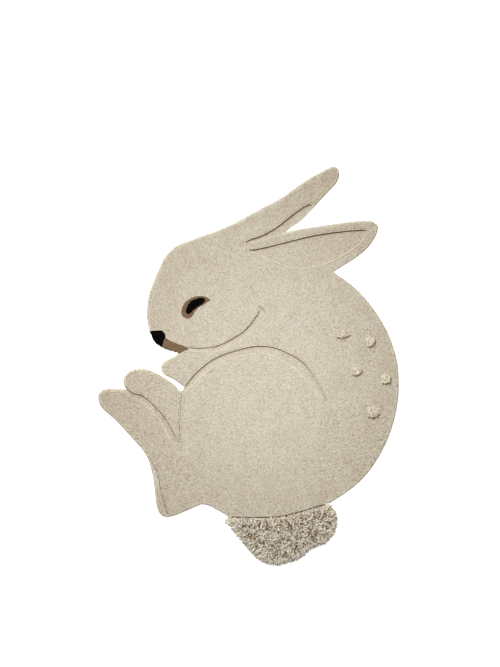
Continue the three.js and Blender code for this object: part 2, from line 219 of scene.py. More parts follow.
# A cut is its loop, its steep and its other edge, its depth at each, half its slit's width, and the fade.
cuts = []
for side, deep, slit, fade, rows in TROUGHS.values():
    steep, other = trough_edges(side, rows)
    loop = np.vstack([steep, other[::-1]])
    cuts.append((loop, steep, other, deep * MM, TROUGH_END, slit * MM, fade * MM))
for deep, shallow, slit, fade, upper, lower in HOLLOWS.values():
    steep, other = smooth_walk(upper, CUT_STEP), smooth_walk(lower, CUT_STEP)
    loop = np.vstack([steep[:-1], other[:-1]])
    cuts.append((loop, steep, other, deep * MM, shallow * MM, slit * MM, fade * MM))
field_loops = {
    "nose": straight_walk(NOSE, CUT_STEP),
    "chin": straight_walk(CHIN, CUT_STEP),
    "eye_rim": smooth_walk(EYE_RIM + EYE_RIM[:1], CUT_STEP)[:-1],
    "eye": smooth_walk(EYE + EYE[:1], CUT_STEP)[:-1],
}
print("outline points:", len(rug_loop), "tail points:", len(tail_loop))

# %% [markdown]
# ## How high the pile stands
# Shears level the pile, roll it over at the rug's edge and cut the troughs. All of that is one
# function of the place: how far it is inside the outline, and how far inside each cut.

# %% Distances and the pile's height
CHUNK = 1500


def loop_distance(places, loop):
    """Distance from each place to a closed loop, plus inside and minus outside, and the nearest point.

    The distance to one straight step is to the nearest place on it. A place is inside where a ray to
    the right of it crosses the loop an odd number of times."""
    start = loop
    step = np.roll(loop, -1, axis=0) - loop
    square = (step ** 2).sum(1)
    signed = np.empty(len(places))
    nearest = np.empty((len(places), 2))
    for low in range(0, len(places), CHUNK):
        here = places[low:low + CHUNK, None, :]
        from_start = here - start
        share = np.clip((from_start * step).sum(2) / square, 0, 1)
        away = from_start - share[:, :, None] * step
        squared = (away ** 2).sum(2)
        best = squared.argmin(1)
        row = np.arange(len(best))
        nearest[low:low + CHUNK] = here[:, 0] - away[row, best]
        level = here[:, :, 1]
        spans = (start[:, 1] > level) != (start[:, 1] + step[:, 1] > level)
        climb = np.where(step[:, 1] == 0, 1, step[:, 1])
        crossing = start[:, 0] + (level - start[:, 1]) / climb * step[:, 0] > here[:, :, 0]
        inside = (spans & crossing).sum(1) % 2 == 1
        signed[low:low + CHUNK] = np.sqrt(squared[row, best]) * np.where(inside, 1, -1)
    return signed, nearest


def is_inside(places, loop):
    """True where a place is inside a loop. Places off the loop's box aren't measured."""
    close = ((places > loop.min(0)) & (places < loop.max(0))).all(1)
    found = np.zeros(len(places), bool)
    found[close] = loop_distance(places[close], loop)[0] > 0
    return found


def line_distance(places, curve, reach):
    """Distance from each place to a curve, by its closest sample, and the reach where it is more."""
    close = ((places > curve.min(0) - reach) & (places < curve.max(0) + reach)).all(1)
    rows = np.flatnonzero(close)
    closest = np.full(len(places), float(reach))
    for low in range(0, len(rows), CHUNK):
        some = rows[low:low + CHUNK]
        away = places[some, None] - curve
        closest[some] = np.minimum(np.sqrt((away ** 2).sum(2).min(1)), reach)
    return closest


def eased(share):
    """A share from 0 to 1 that starts and ends gently."""
    share = np.clip(share, 0, 1)
    return share * share * (3 - 2 * share)


def carving(places):
    """How much the shears take off. A cut is deep at its steep edge and eases out to a shallow depth at
    its other edge, by the share of the way across. The steep edge runs out over the fade before its
    end. Where cuts meet, the deeper one wins."""
    total = np.zeros(len(places))
    for loop, steep, other, deep, shallow, _, fade in cuts:
        here = is_inside(places, loop)
        to_steep = line_distance(places[here], steep, 1)
        to_other = line_distance(places[here], other, 1)
        share = eased(to_steep / (to_steep + to_other + 1e-9))
        to_end = np.linalg.norm(places[here] - steep[-1], axis=1)
        total[here] = np.maximum(total[here], shallow * share + deep * eased(to_end / fade) * (1 - share))
    return total


def rolled_edge(distance, radius):
    """How far a quarter-round edge falls below the top, at a distance in from it."""
    share = 1 - np.clip(distance / radius, 0, 1)
    return radius * (1 - np.sqrt(1 - share ** 2))


def ripple(places, waves, seed, count=14):
    """Gentle unevenness: a sum of plane waves with random headings, and lengths between the two
    given ones, scaled to stay within about one."""
    rng = np.random.default_rng(seed)
    heading = rng.uniform(0, 2 * np.pi, count)
    length = rng.uniform(waves[0], waves[1], count)
    phase = rng.uniform(0, 2 * np.pi, count)
    number = 2 * np.pi / length * np.array([np.cos(heading), np.sin(heading)])
    return np.sin(places @ number + phase).sum(1) / np.sqrt(count) / 1.6


def pile_height(places, distance, shorn):
    """The sheared top of the cream pile."""
    lumpy = 0.35 * MM * ripple(places, (16 * MM, 40 * MM), 1)
    return PILE_TOP - rolled_edge(distance, EDGE_ROUND) - shorn + lumpy


# %% [markdown]
# ## Putting arrays into meshes
# Blender takes a mesh as flat arrays of points and corners. One helper does that for every piece. A
# yarn is a small ring of points carried along a path, so one function makes them all at once.

# %% Helpers for pieces and yarns
def add_object(name, data):
    """A new object in the scene, at the origin."""
    made = bpy.data.objects.new(name, data)
    bpy.context.scene.collection.objects.link(made)
    return made


def make_piece(name, points, face_groups, material, values, smooth=True):
    """A mesh object at the origin. Each face group is an array with one row of corners a face. Under each
    label, values has one number a point."""
    corners = np.concatenate([group.ravel() for group in face_groups])
    sizes = np.concatenate([np.full(len(group), group.shape[1]) for group in face_groups])
    mesh = bpy.data.meshes.new(name)
    mesh.vertices.add(len(points))
    mesh.vertices.foreach_set("co", np.ascontiguousarray(points, dtype=np.float32).ravel())
    mesh.loops.add(len(corners))
    mesh.loops.foreach_set("vertex_index", corners.astype(np.int32))
    mesh.polygons.add(len(sizes))
    mesh.polygons.foreach_set("loop_start", (np.cumsum(sizes) - sizes).astype(np.int32))
    mesh.update(calc_edges=True)
    mesh.polygons.foreach_set("use_smooth", np.full(len(sizes), smooth))
    for label, column in values.items():
        layer = mesh.attributes.new(label, "FLOAT", "POINT")
        layer.data.foreach_set("value", column.astype(np.float32))
    mesh.materials.append(material)
    piece = add_object(name, mesh)
    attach(piece, "root")
    print(name, "triangles:", int((sizes - 2).sum()))
    return piece


def yarns(paths, radii, sides, seed):
    """Closed yarns: a ring of sides points is carried along each path, square to it, with the given
    radius at each station. Returns points, face groups, and each point's yarn and share of the way."""
    count, stations, _ = paths.shape
    rng = np.random.default_rng(seed)
    along = unit(np.gradient(paths, axis=1))
    spare = rng.normal(size=(count, 1, 3))
    first = unit(np.cross(along, np.broadcast_to(spare, along.shape)))
    second = np.cross(along, first)
    turn = np.arange(sides) * 2 * np.pi / sides
    ring = np.cos(turn)[:, None] * first[:, :, None] + np.sin(turn)[:, None] * second[:, :, None]
    points = paths[:, :, None] + radii[:, :, None, None] * ring
    base = (np.arange(count) * stations * sides)[:, None, None]
    row = np.arange(stations - 1)[None, :, None] * sides
    spot = np.arange(sides)[None, None, :]
    after = (spot + 1) % sides
    quads = np.stack([base + row + spot, base + row + after,
                      base + row + after + sides, base + row + spot + sides], axis=-1)
    root_cap = (np.arange(count) * stations * sides)[:, None] + np.arange(sides)[::-1]
    tip_cap = root_cap[:, ::-1] + (stations - 1) * sides
    which = np.repeat(np.arange(count), stations * sides)
    share = np.tile(np.repeat(np.linspace(0, 1, stations), sides), count)
    return points.reshape(-1, 3), [quads.reshape(-1, 4), root_cap, tip_cap], which, share


def scattered(loop, spacing, margin, seed):
    """Rows of places, every other row shifted by half a space, each nudged at random, kept where they
    are more than the margin inside the loop."""
    rng = np.random.default_rng(seed)
    low, high = loop.min(0), loop.max(0)
    lines = np.arange(low[1], high[1], spacing * 0.866)
    across = np.arange(low[0], high[0], spacing)
    x = across[None, :] + (np.arange(len(lines)) % 2)[:, None] * spacing / 2
    places = np.column_stack([x.ravel(), np.repeat(lines, len(across))])
    places += rng.uniform(-0.3, 0.3, places.shape) * spacing
    distance, _ = loop_distance(places, loop)
    return places[distance > margin]


# %% [markdown]
# ## Wool
# Wool is matt and a little hairy: its colour wanders from yarn to yarn, the depths between yarns look
# darker and warmer, and light catches the loose fibres at a slant. The finish mixes a deep and a
# light tone by each yarn's own tone and a noise about as fine as the yarns. It goes over to a painted
# shade, the darker and warmer colour of the depths, by a share that each piece states, and adds fibre
# as bump.

# %% The wool finishes
TONE_SHARE = 0.5


def set_inputs(node, values):
    """Put constant values on a node's own sockets."""
    for socket, value in values.items():
        node.inputs[socket].default_value = value


def wool_finish(name, root, deep, light, sheen):
    """A matt finish. Noise and the yarn's tone choose between a deep and a light colour, and towards
    the yarn's root the colour goes over to a painted shade, that of the depths."""
    material = bpy.data.materials.new(name)
    material.use_nodes = True
    nodes = material.node_tree.nodes
    link = material.node_tree.links.new
    shader = nodes["Principled BSDF"]
    set_inputs(shader, {"Roughness": 0.95, "Specular IOR Level": 0.0})
    set_inputs(shader, {"Sheen Weight": sheen, "Sheen Roughness": 0.5})
    place = nodes.new("ShaderNodeTexCoord").outputs["Object"]

    def noise(scale, detail):
        node = nodes.new("ShaderNodeTexNoise")
        set_inputs(node, {"Scale": scale, "Detail": detail})
        link(place, node.inputs["Vector"])
        return node.outputs["Fac"]

    def stated(label):
        node = nodes.new("ShaderNodeAttribute")
        node.attribute_name = label
        return node.outputs["Fac"]

    def mixed(factor, start):
        node = nodes.new("ShaderNodeMix")
        node.data_type = "RGBA"
        set_inputs(node, {"A": (*start, 1)})
        link(factor, node.inputs["Factor"])
        return node

    blend = nodes.new("ShaderNodeMath")
    blend.operation = "MULTIPLY_ADD"
    set_inputs(blend, {1: TONE_SHARE})
    link(stated("tone"), blend.inputs[0])
    spread = nodes.new("ShaderNodeMapRange")
    set_inputs(spread, {"From Min": 0.3, "From Max": 0.7, "To Max": 1 - TONE_SHARE})
    link(noise(330, 3), spread.inputs["Value"])
    link(spread.outputs["Result"], blend.inputs[2])
    colour = mixed(blend.outputs["Value"], deep)
    set_inputs(colour, {"B": (*light, 1)})
    along = mixed(stated("share"), root)
    link(colour.outputs["Result"], along.inputs["B"])
    link(along.outputs["Result"], shader.inputs["Base Color"])
    bump = nodes.new("ShaderNodeBump")
    set_inputs(bump, {"Strength": 0.5, "Distance": 0.4 * MM})
    link(noise(900, 2), bump.inputs["Height"])
    link(bump.outputs["Normal"], shader.inputs["Normal"])
    return material


# The first colour of each finish is painted shade: the darker, warmer colour the depths between yarns take in
# shade.
cream_wool = wool_finish("cream wool", (0.34, 0.20, 0.092), (0.60, 0.54, 0.415), (0.885, 0.866, 0.772), 0.1)
shag_wool = wool_finish("shag wool", (0.23, 0.123, 0.053), (0.62, 0.54, 0.40), (0.90, 0.865, 0.755), 0.1)
brown_wool = wool_finish("brown wool", (0.07, 0.044, 0.026), (0.125, 0.08, 0.047), (0.27, 0.176, 0.107), 0.05)
black_wool = wool_finish("black wool", (0.001, 0.001, 0.001), (0.002, 0.0018, 0.0015),
                         (0.005, 0.004, 0.0035), 0.0)
print("finishes:", [m.name for m in bpy.data.materials if "wool" in m.name])

# %% [markdown]
# ## The bed of the pile
# Deep in the pile the yarns stand so close that they make one mass. A square grid is laid over the
# outline and the points at its edge are drawn onto the curve, so the edge stays smooth with even
# faces inside. The mass stops a little below the sheared top, where the yarns' tips will show.

# %% Grid of a field and the bed
def field_grid(loop, cell):
    """A grid over the loop's box. A cell stays where its middle is inside, and a point on the border
    of the cells that stay moves to the nearest point of the loop. Returns places, their distances in and
    the cells."""
    low, high = loop.min(0) - 2 * cell, loop.max(0) + 2 * cell
    xs = np.arange(low[0], high[0], cell)
    ys = np.arange(low[1], high[1], cell)
    places = np.column_stack([np.tile(xs, len(ys)), np.repeat(ys, len(xs))])
    distance, nearest = loop_distance(places, loop)
    index = np.arange(len(places)).reshape(len(ys), len(xs))
    quads = np.stack([index[:-1, :-1], index[:-1, 1:], index[1:, 1:], index[1:, :-1]], axis=-1)
    quads = quads.reshape(-1, 4)
    stays = distance[quads].mean(1) > 0
    used = np.zeros(len(places), bool)
    used[quads[stays]] = True
    open_side = np.zeros(len(places), bool)
    open_side[quads[~stays]] = True
    border = used & open_side
    places[border] = nearest[border]
    distance[border] = 0
    number = np.cumsum(used) - 1
    return places[used], distance[used], number[quads[stays]]


def closed_slab(name, places, top, quads, material, values):
    """A closed body: the grid at its heights, a wall from its border down to nought, and a flat underside
    filled across the border's lower loop."""
    ways = np.vstack([quads[:, [k, (k + 1) % 4]] for k in range(4)])
    forward = ways[:, 0] * len(places) + ways[:, 1]
    backward = ways[:, 1] * len(places) + ways[:, 0]
    edge = ways[~np.isin(backward, forward)]
    ring = np.unique(edge)
    lower = np.full(len(places), -1)
    lower[ring] = len(places) + np.arange(len(ring))
    points = np.vstack([np.column_stack([places, top]),
                        np.column_stack([places[ring], np.zeros(len(ring))])])
    wall = np.column_stack([edge[:, 1], edge[:, 0], lower[edge[:, 0]], lower[edge[:, 1]]])
    values = {label: np.concatenate([column, column[ring]]) for label, column in values.items()}
    piece = make_piece(name, points, [quads, wall], material, values)
    work = bmesh.new()
    work.from_mesh(piece.data)
    rim = [line for line in work.edges if line.is_boundary]
    bmesh.ops.triangle_fill(work, edges=rim, normal=(0, 0, -1))
    bmesh.ops.recalc_face_normals(work, faces=work.faces)
    print(name, "open edges left:", sum(line.is_boundary for line in work.edges))
    work.to_mesh(piece.data)
    work.free()
    return piece


# %% [markdown]
# ## Slits, tufts and dark fields
# A blade leaves a thin slit at the steep edge of most cuts, where one looks down between the yarns.
# Yarns are lined up along slits, far edges of cuts and borders of dark fields, so these are kept as
# guides. The bed drops at slits, beside tufts and under dark fields, which makes them look deep, and
# there its colour goes over to the painted shade of the depths.

# %% Guides: lines that part the pile
def slit_width(curve, half, fade):
    """Half the slit's width at each point of a curve: it opens over the first eight millimetres and closes
    over the fade before its end."""
    length = length_along(curve)
    opening = np.clip(length / (8 * MM), 0.5, 1)
    closing = np.clip((length[-1] - length) / fade, 0.45, 1)
    return half * np.minimum(opening, closing)


slits = [(steep, slit_width(steep, slit, fade)) for _, steep, _, _, _, slit, fade in cuts if slit > 0]
for half, rows in CREASES.values():
    crease = smooth_walk(rows, CUT_STEP)
    slits.append((crease, np.full(len(crease), half * MM)))
DARK_FIELDS = ("nose", "chin", "eye_rim")
plain_guides = [cut[2] for cut in cuts] + [field_loops[name] for name in DARK_FIELDS]
guides = slits + [(curve, np.zeros(len(curve))) for curve in plain_guides]
print("slits:", len(slits), "guides:", len(guides))


def slit_nearness(places, reach):
    """One on a slit and nought from a reach away."""
    near = np.zeros(len(places))
    for curve, _ in slits:
        share = 1 - line_distance(places, curve, reach) / reach
        near = np.maximum(near, eased(share))
    return near


# %% Tufts, dark fields and the bed
# A tuft is the x and y of its middle, its width, its length along its heading, and that in degrees.
TUFTS = [
    (283, 99, 39, 27, -80), (363, 77, 33, 34, -50), (323, -11, 34, 30, -65),
    (411, -35, 32, 32, -60), (373, -134, 36, 42, -75)]
SEAM_SHADE = 0.2


def in_fields(places, names):
    """True where a place lies inside any of the named fields of dark yarn."""
    return np.any([is_inside(places, field_loops[name]) for name in names], axis=0)


def beside_tufts(places, width):
    """True in the shadowed strip of pile along the blunt end of a tuft."""
    found = np.zeros(len(places), bool)
    for x, y, across, along, heading in TUFTS:
        way = np.radians(heading)
        flat = places / MM - (x, y)
        ahead = flat @ (np.cos(way), np.sin(way))
        left = flat @ (-np.sin(way), np.cos(way))
        front = (0.5 - 0.2 * (2 * left / across) ** 2) * along
        found |= (ahead > front - 2) & (ahead < front + width) & (np.abs(left) < 0.5 * across)
    return found


BED_CELL = 3.2 * MM
BED_DROP = 2.2 * MM
BED_SHARE = 0.7
BED_TONE = 0.3
PARTING_DROP = 3 * MM
DARK_DROP = 4 * MM
BED_LOW = 1.5 * MM
places, distance, quads = field_grid(rug_loop, BED_CELL)
parting = np.maximum(slit_nearness(places, 7 * MM), 0.5 * beside_tufts(places, 2.5))
dark = in_fields(places, DARK_FIELDS)
bed_drop = BED_DROP + PARTING_DROP * parting + DARK_DROP * dark
bed_top = np.maximum(pile_height(places, distance, carving(places)) - bed_drop, BED_LOW)
# Painted shade of the depths colours the bed: a little of it away from the rug's edge, more beside tufts, and
# all of it in slits and under dark fields.
bed_share = np.where(distance < 8 * MM, 1, BED_SHARE) * (1 - np.maximum(parting, dark))
# Along the seam the bed is painted in the shade of the depths, as a thin brown line.
bed_share[line_distance(places, seam_curve, 3 * MM) < 1 * MM] = SEAM_SHADE
bed_values = {"tone": np.full(len(places), BED_TONE), "share": bed_share}
pile_bed = closed_slab("pile_bed", places, bed_top, quads, cream_wool, bed_values)
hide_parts("rug_body")

# %% [markdown]
# ## Cream yarns
# On the real rug each yarn is a little brush of wool, cut square by the shears. Tens of thousands of
# them stand on the cloth, so each is only a three-sided peg here: together they give the grain of
# the pile and its soft, broken edge. All pegs lean a little one way, which is the pile's nap.

# %% Standing yarns and lining them up
YARN_SPACING = 3.4 * MM
YARN_RADIUS = 2.3 * MM
YARN_ROOT = 5.5 * MM
YARN_LOW = 2.6 * MM
NAP = np.array([0.3, -0.7]) * MM


def lined_up(places, radius):
    """Clear the places close to a guide, then put a row on either side of it."""
    kept = np.ones(len(places), bool)
    rows = []
    for curve, half in guides:
        kept &= line_distance(places, curve, 4 * radius) > half.max() + 1.6 * radius
        rows += [beside(curve, half + 0.7 * radius), beside(curve, -half - 0.7 * radius)]
    rows = np.vstack(rows)
    clear = np.ones(len(rows), bool)
    for curve, _ in guides:
        clear &= line_distance(rows, curve, 4 * radius) > 0.6 * radius
    return np.vstack([places[kept], rows[clear]])


def standing_yarns(places, top, slope, radius, root, nap, seed, sides=3):
    """Pegs from root below the top up to the top, a little slimmer there. Their tips are carried along the
    nap and nudged at random, and their roots towards the rise of the pile, so that their ends lie in its
    slope."""
    rng = np.random.default_rng(seed)
    count = len(places)
    tip = places + nap + rng.normal(0, 0.3 * MM, (count, 2))
    height = top + rng.normal(0, 0.2 * MM, count)
    foot = np.column_stack([places + slope * root, np.maximum(top - root, YARN_LOW)])
    paths = np.stack([foot, np.column_stack([tip, height])], axis=1)
    size = radius * rng.uniform(0.88, 1.12, count)
    return yarns(paths, np.column_stack([size, 0.9 * size]), sides, seed + 1)


def yarn_piece(name, made, tone, material, root_share=0.0, top_share=1.0, smooth=True):
    """One joined mesh of yarns that carries each yarn's tone, and a share that goes from the root's to the
    tip's."""
    points, faces, which, share = made
    low = np.broadcast_to(root_share, len(tone))[which]
    high = np.broadcast_to(top_share, len(tone))[which]
    piece = make_piece(name, points, faces, material,
                       {"tone": tone[which], "share": low + (high - low) * share}, smooth)
    return piece


# %% [markdown]
# The pegs stand in nudged rows, and in line along the guides and the rug's edge, where a maker follows
# the drawing. By the tail the shag holds the pile up, so it hardly rolls over, and its outermost row
# is left out to make room for the seam.

# %% Where the cream yarns stand
EDGE_ROWS = (0.3 * MM, 2.9 * MM)
EDGE_MARGIN = 5.4 * MM
EDGE_CLEAR = 0.15 * MM
SEAM_GAP = 1.5 * MM
SEAM_LIFT = 3.5 * MM
edge_rows = np.vstack([beside(rug_loop, -inset) for inset in EDGE_ROWS])
places = scattered(rug_loop, YARN_SPACING, EDGE_MARGIN, 20)
places = np.vstack([lined_up(places, YARN_RADIUS), edge_rows])
distance, nearest = loop_distance(places, rug_loop)
by_tail = line_distance(nearest, seam_curve, 4 * MM) < 2 * MM
clear = (distance > np.where(by_tail, SEAM_GAP, EDGE_CLEAR)) & ~in_fields(places, DARK_FIELDS)
order = np.flatnonzero(clear)[np.argsort(places[clear, 1])]
places, distance, nearest, by_tail = places[order], distance[order], nearest[order], by_tail[order]
roll_distance = np.where(by_tail, distance + SEAM_LIFT, distance)
print("cream yarns:", len(places))

# %% The pile's fine relief
SMOOTH_MIDDLE = np.array([40, 30]) * MM
SMOOTH_REACH = 460 * MM
SANDY_RISE = 0.28 * MM


def ruffled(places):
    """How ruffled the pile is: nought in the smooth middle, which is longer than it is wide, one far off."""
    away = np.linalg.norm((places - SMOOTH_MIDDLE) * (1, 0.75), axis=1)
    return eased(away / SMOOTH_REACH - 0.25)


def grain(places):
    """Short waves that run mostly up and down the rug, within about one."""
    return ripple(places * (0.62, 1), (6 * MM, 14 * MM), 2, 60)


def sandy(places):
    """The fine relief that the shears leave in the pile."""
    return SANDY_RISE * (0.8 + 0.8 * ruffled(places)) * grain(places)


def slope_of(relief, places, step):
    """How steeply a relief climbs along x and along y, from its change between a step to either side."""
    ways = [relief(places + way) - relief(places - way) for way in ((step, 0), (0, step))]
    return np.column_stack(ways) / (2 * step)


def edge_slope(places, distance, nearest):
    """How steeply the yarn ends climb inwards near the rug's edge: gently over twelve millimetres, and
    more over the last few."""
    near = np.clip(1 - distance / EDGE_ROUND, 0, 1)
    wide = np.clip(1 - distance / (12 * MM), 0, 1)
    steep = np.minimum(near / np.sqrt(1.1 - near ** 2) + 0.3 * wide ** 1.5, 1.2)
    return (places - nearest) / distance[:, None] * steep[:, None]


# %% [markdown]
# Seen from above, the pile is its yarn ends. They tilt with the fine relief and sink into pits.
# Painted shade darkens the pits, the valleys of the relief and short dashes as specks, and makes the
# pile duller where it is ruffled, away from the smooth middle. Beyond the far edge of a cut they tilt
# back towards it and catch the light, and a painted highlight adds to that. Pegs shine more than packed
# wool does, so where a cut faces the window painted shade lowers their tone, and where it faces away
# painted light raises it.

# %% Heights and slopes of the cream yarns
TUFT_STRIP = 3
TUFT_PIT = 1.2 * MM
PIT_DEPTHS = (0.6 * MM, 2.2 * MM)
CATCH_REACH = 3.4 * MM
CATCH_TILT = np.array([0.12, 0.4])
CARVED_STEP = 3 * MM
rng = np.random.default_rng(21)
shorn = carving(places)
by_tufts = beside_tufts(places, TUFT_STRIP)
chance = 0.04 + 0.12 * ruffled(places)
pits = np.where(rng.uniform(size=len(places)) < chance, rng.uniform(*PIT_DEPTHS, len(places)), 0)
pits[by_tufts] = TUFT_PIT
# The deeper a cut, the more the pile beyond its far edge catches the light.
catch = np.zeros(len(places))
for _, _, other, deep, _, _, _ in cuts:
    beyond = (line_distance(places, other, 4 * MM) < CATCH_REACH) & (shorn == 0)
    catch[beyond] = np.maximum(catch[beyond], (deep - 3 * MM) / (2 * MM))
lit = catch > 0
carved = (shorn > 0) | lit
carved_slope = np.zeros((len(places), 2))
carved_slope[carved] = slope_of(carving, places[carved], CARVED_STEP)
cream_slope = slope_of(sandy, places, 0.5 * MM)
cream_slope += np.where(by_tail[:, None], 0, edge_slope(places, distance, nearest))
facing = np.clip(1.3 * carved_slope[lit], -CATCH_TILT, CATCH_TILT)
cream_slope[lit] -= catch[lit, None] * facing
cream_top = pile_height(places, roll_distance, shorn) + sandy(places) - pits
print("yarns in pits:", int((pits > 0).sum()), "in cuts:", int((shorn > 0).sum()))

# %% Tones and shares of the cream yarns
CREAM_TONE = 0.63
FALLOFF_SHADE_TONE = 0.75
CATCH_HIGHLIGHT = 0.15
PAINTED_WINDOW_TONE = 1.8
TUFT_SHADE = 0.25
window_way = unit(WINDOW[:2])
# Painted shade makes the tone darker where the pile is ruffled, away from the smooth middle.
cream_tone = CREAM_TONE - FALLOFF_SHADE_TONE * ruffled(places) + 0.14 * ripple(places, (30 * MM, 120 * MM), 4)
# The tone varies at random, and beyond the far edge of a cut a painted highlight raises it.
cream_tone += rng.uniform(-0.3, 0.3, len(places)) + CATCH_HIGHLIGHT * catch
# Where a cut faces the window, painted shade lowers the tone; where it faces away, painted light raises it.
cream_tone -= PAINTED_WINDOW_TONE * np.clip(carved_slope @ window_way, -0.3, 0.3)
# Specks are short dashes of painted shade across the rug, broken up by chance, and stronger where the pile is
# ruffled.
dashes = ripple(places * (0.4, 1), (6 * MM, 8.5 * MM), 5, 60) + rng.normal(0, 0.85, len(places))
specks = np.clip(np.abs(dashes) - 0.7, 0, 0.9) * (0.42 + 0.28 * ruffled(places))
valley = eased((-grain(places) - 0.2) / 0.8)
# The share goes over to the painted shade of the depths in the relief's valleys, at specks unless the pile
# catches the light there, and in pits; beside a tuft's blunt end it is set low, as painted shadow.
cream_share = 1 - 0.1 * valley - specks * (1 - np.minimum(catch, 1)) - 0.2 * pits / MM
cream_share[by_tufts] = TUFT_SHADE
near_edge = distance < 6 * MM
cream_root = np.where(near_edge, 0.95, 0.6)
# Pegs by the seam are painted with shade towards their roots, for the seam's brown line.
cream_root[by_tail & near_edge] = SEAM_SHADE
print("tone of the cream yarns, on average:", round(float(cream_tone.mean()), 2))

# %% The cream yarns
CREAM_PARTS = 3
for part, rows in enumerate(np.array_split(np.arange(len(places)), CREAM_PARTS)):
    made = standing_yarns(places[rows], cream_top[rows], cream_slope[rows], YARN_RADIUS, YARN_ROOT, NAP,
                          30 + part)
    yarn_piece(f"cream_yarns_{part + 1}", made, cream_tone[rows], cream_wool,
                                  cream_root[rows], cream_share[rows], False)

# %% [markdown]
# The yarns at the very edge have no neighbour to hold them up, so they fall outwards and make the
# rug's soft rim. They stand in three rows round the outline, but not where the tail is.

# %% The yarns of the rim
RIM_SPACING = 2.3 * MM
RIM_ROWS = [(2.0, 3.6), (5.2, 3.8), (8.2, 3.2)]
RIM_THICK = 1.6 * MM
RIM_FOOT = 2.2 * MM
RIM_CLEAR = 5 * MM


def rim_paths(loop, spacing, low, reach, seed):
    """Short paths that start inside the loop at a height and point outwards, square to the loop."""
    rng = np.random.default_rng(seed)
    closed = np.vstack([loop, loop[:1]])
    even = np.arange(0, length_along(closed)[-1], spacing)
    even += rng.uniform(-0.3, 0.3, len(even)) * spacing
    foot = points_at(closed, even)
    along, outward = ways_along(foot)
    count = len(foot)
    start = foot - outward * RIM_FOOT
    end = foot + outward * (reach - RIM_FOOT) + along * rng.normal(0, 0.6 * MM, (count, 1))
    lift = np.maximum(low + rng.normal(0, 0.6 * MM, count), RIM_THICK)
    drop = np.maximum(lift + rng.normal(0, 0.7 * MM, count), RIM_THICK)
    return np.stack([np.column_stack([start, lift]), np.column_stack([end, drop])], axis=1)


rim = np.concatenate([rim_paths(rug_loop, RIM_SPACING, low * MM, reach * MM, 40 + k)
                      for k, (low, reach) in enumerate(RIM_ROWS)])
rim = rim[~in_fields(rim[:, 0, :2], DARK_FIELDS)]
rim = rim[line_distance(rim[:, 1, :2], seam_curve, 2 * RIM_CLEAR) > RIM_CLEAR]
rim_size = np.tile([RIM_THICK, 0.8 * RIM_THICK], (len(rim), 1))
rim_tone = np.random.default_rng(44).uniform(0.5, 1.1, len(rim))
rim_yarns = yarn_piece("rim_yarns", yarns(rim, rim_size, 3, 45), rim_tone, cream_wool, 1.0)

# %% [markdown]
# ## Dark yarns in the face
# Nose, chin and eye are the same pile in other colours, and the shears take them down by a
# millimetre so that their edges read as lines.

# %% The dark fields
FIELD_SPACING = 2.2 * MM
FIELD_RADIUS = 2.0 * MM
FIELD_DROP = 1.0 * MM


def dark_field(name, field, without, material, node, seed):
    """Yarns inside one field of the drawing and inside the rug, but not in the fields left out, with a
    row of them along every border."""
    places = scattered(field_loops[field], FIELD_SPACING, FIELD_RADIUS, seed)
    for other in without:
        places = places[loop_distance(places, field_loops[other])[0] < -FIELD_RADIUS]
    for border in (field, *without):
        loop = field_loops[border]
        places = np.vstack([places, beside(loop, 0.6 * FIELD_RADIUS), beside(loop, -0.6 * FIELD_RADIUS)])
    keep = in_fields(places, (field,))
    if without:
        keep &= ~in_fields(places, without)
    distance, _ = loop_distance(places, rug_loop)
    keep &= distance > -0.6 * MM
    places, distance = places[keep], distance[keep]
    top = PILE_TOP - FIELD_DROP - rolled_edge(distance, EDGE_ROUND)
    made = standing_yarns(places, top, 0, FIELD_RADIUS, 9 * MM, 0.3 * NAP, seed + 1, sides=4)
    tone = np.random.default_rng(seed + 2).uniform(0, 1, len(places))
    piece = yarn_piece(name, made, tone, material, 0.5, 1.0, False)
    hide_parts(node)
    return piece


nose = dark_field("nose_yarns", "nose", (), black_wool, "nose_pile", 50)
chin = dark_field("chin_yarns", "chin", ("nose",), brown_wool, "chin_pile", 53)
eye_rim = dark_field("eye_rim_yarns", "eye_rim", ("eye",), brown_wool, "eye_rim_pile", 56)
eye = dark_field("eye_yarns", "eye", (), black_wool, "eye_pile", 59)

# %% [markdown]
# ## Tufts on the back
# Five bundles of longer yarn stand out of the back. Each rises like a ramp towards its blunt end and
# stops there, so that end throws a short shadow on the pile beside it, and painted shade darkens that
# strip too. The yarns are pale along their backs, and painted shade turns them brown at roots and cut
# tips, which lie in shade.

# %% The tufts
TUFT_RISE = 5 * MM
TUFT_LAYERS = np.array([0.1, 0.4, 0.7, 1.0])
TUFT_ACROSS = 13
TUFT_SIZES = np.array([1.3, 1.8, 1.8, 1.3]) * MM
# Shares along a tuft yarn: low at the root and the cut tip, where painted shade browns it.
TUFT_SHARES = np.array([0.4, 1.0, 1.0, 0.05])


